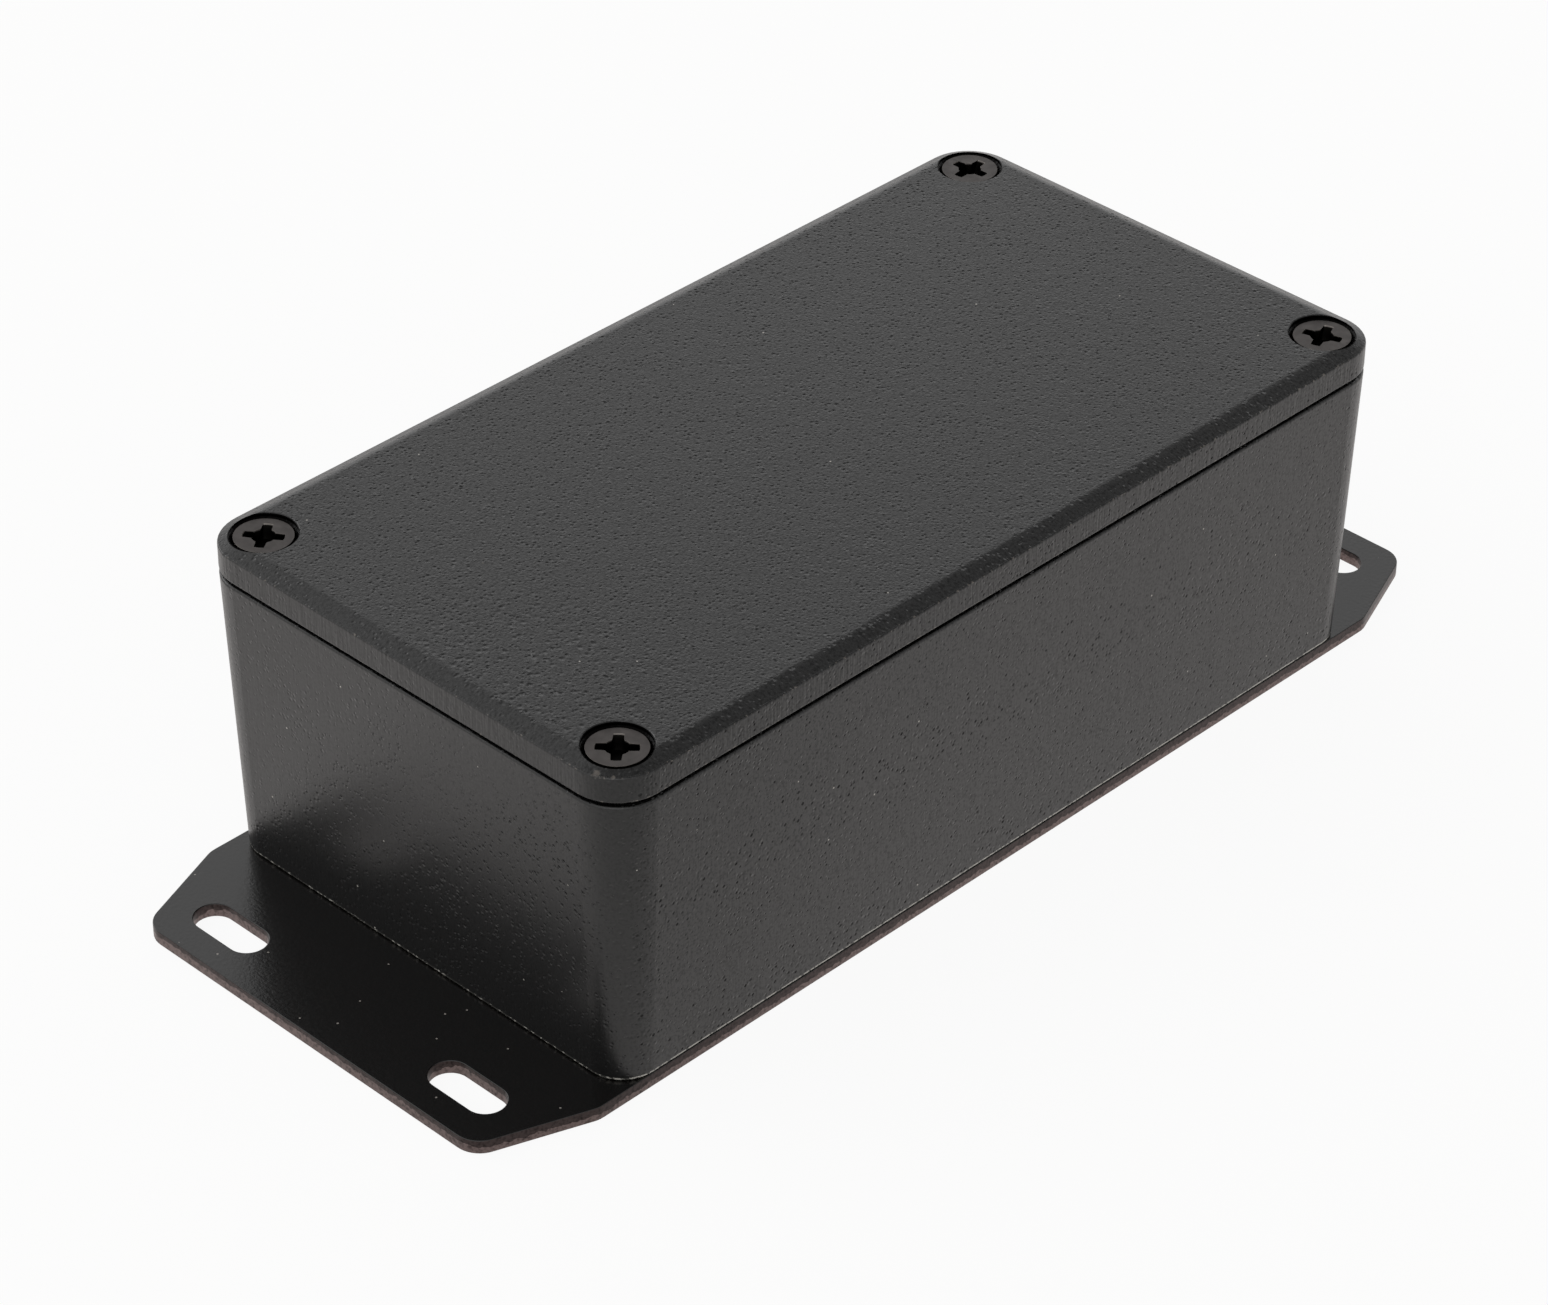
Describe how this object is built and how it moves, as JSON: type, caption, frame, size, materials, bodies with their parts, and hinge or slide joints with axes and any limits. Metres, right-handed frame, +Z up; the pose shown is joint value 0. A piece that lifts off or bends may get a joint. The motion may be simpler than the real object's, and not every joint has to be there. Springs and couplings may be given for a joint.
{
  "type": "flanged die cast enclosure",
  "caption": "Black textured die cast box with a flat lap-jointed lid held by sunk cross-recess screws, on a flat flange plate whose slotted ears bolt it to a panel.",
  "frame": {"origin": "middle of the flange plate's underside", "axes": "+Z up through the lid, +Y along the length towards the far ear, +X across the width"},
  "size_m": [0.0596, 0.1404, 0.0393],
  "materials": {
    "casting": "fine textured black powder coat on die cast aluminium",
    "plate": "smooth satin black on sheared sheet steel",
    "screw": "blackened steel",
    "rivet": "bare aluminium, pressed"
  },
  "bodies": {
    "box": {"base": "casting", "flange_plate": "plate", "flange_rivets": "rivet"},
    "lid": {"lid": "casting"},
    "screw_front_right": {"lid_screw_front_right": "screw"},
    "screw_front_left": {"lid_screw_front_left": "screw"},
    "screw_back_right": {"lid_screw_back_right": "screw"},
    "screw_back_left": {"lid_screw_back_left": "screw"}
  },
  "joints": [
    {"name": "lid_lift", "type": "slide", "parent": "box", "child": "lid", "axis": [0, 0, 1], "range_m": [0, 0.08]},
    {"name": "undo_front_right", "type": "slide", "parent": "lid", "child": "screw_front_right", "axis": [0, 0, 1], "range_m": [0, 0.016]},
    {"name": "undo_front_left", "type": "slide", "parent": "lid", "child": "screw_front_left", "axis": [0, 0, 1], "range_m": [0, 0.016]},
    {"name": "undo_back_right", "type": "slide", "parent": "lid", "child": "screw_back_right", "axis": [0, 0, 1], "range_m": [0, 0.016]},
    {"name": "undo_back_left", "type": "slide", "parent": "lid", "child": "screw_back_left", "axis": [0, 0, 1], "range_m": [0, 0.016]}
  ]
}
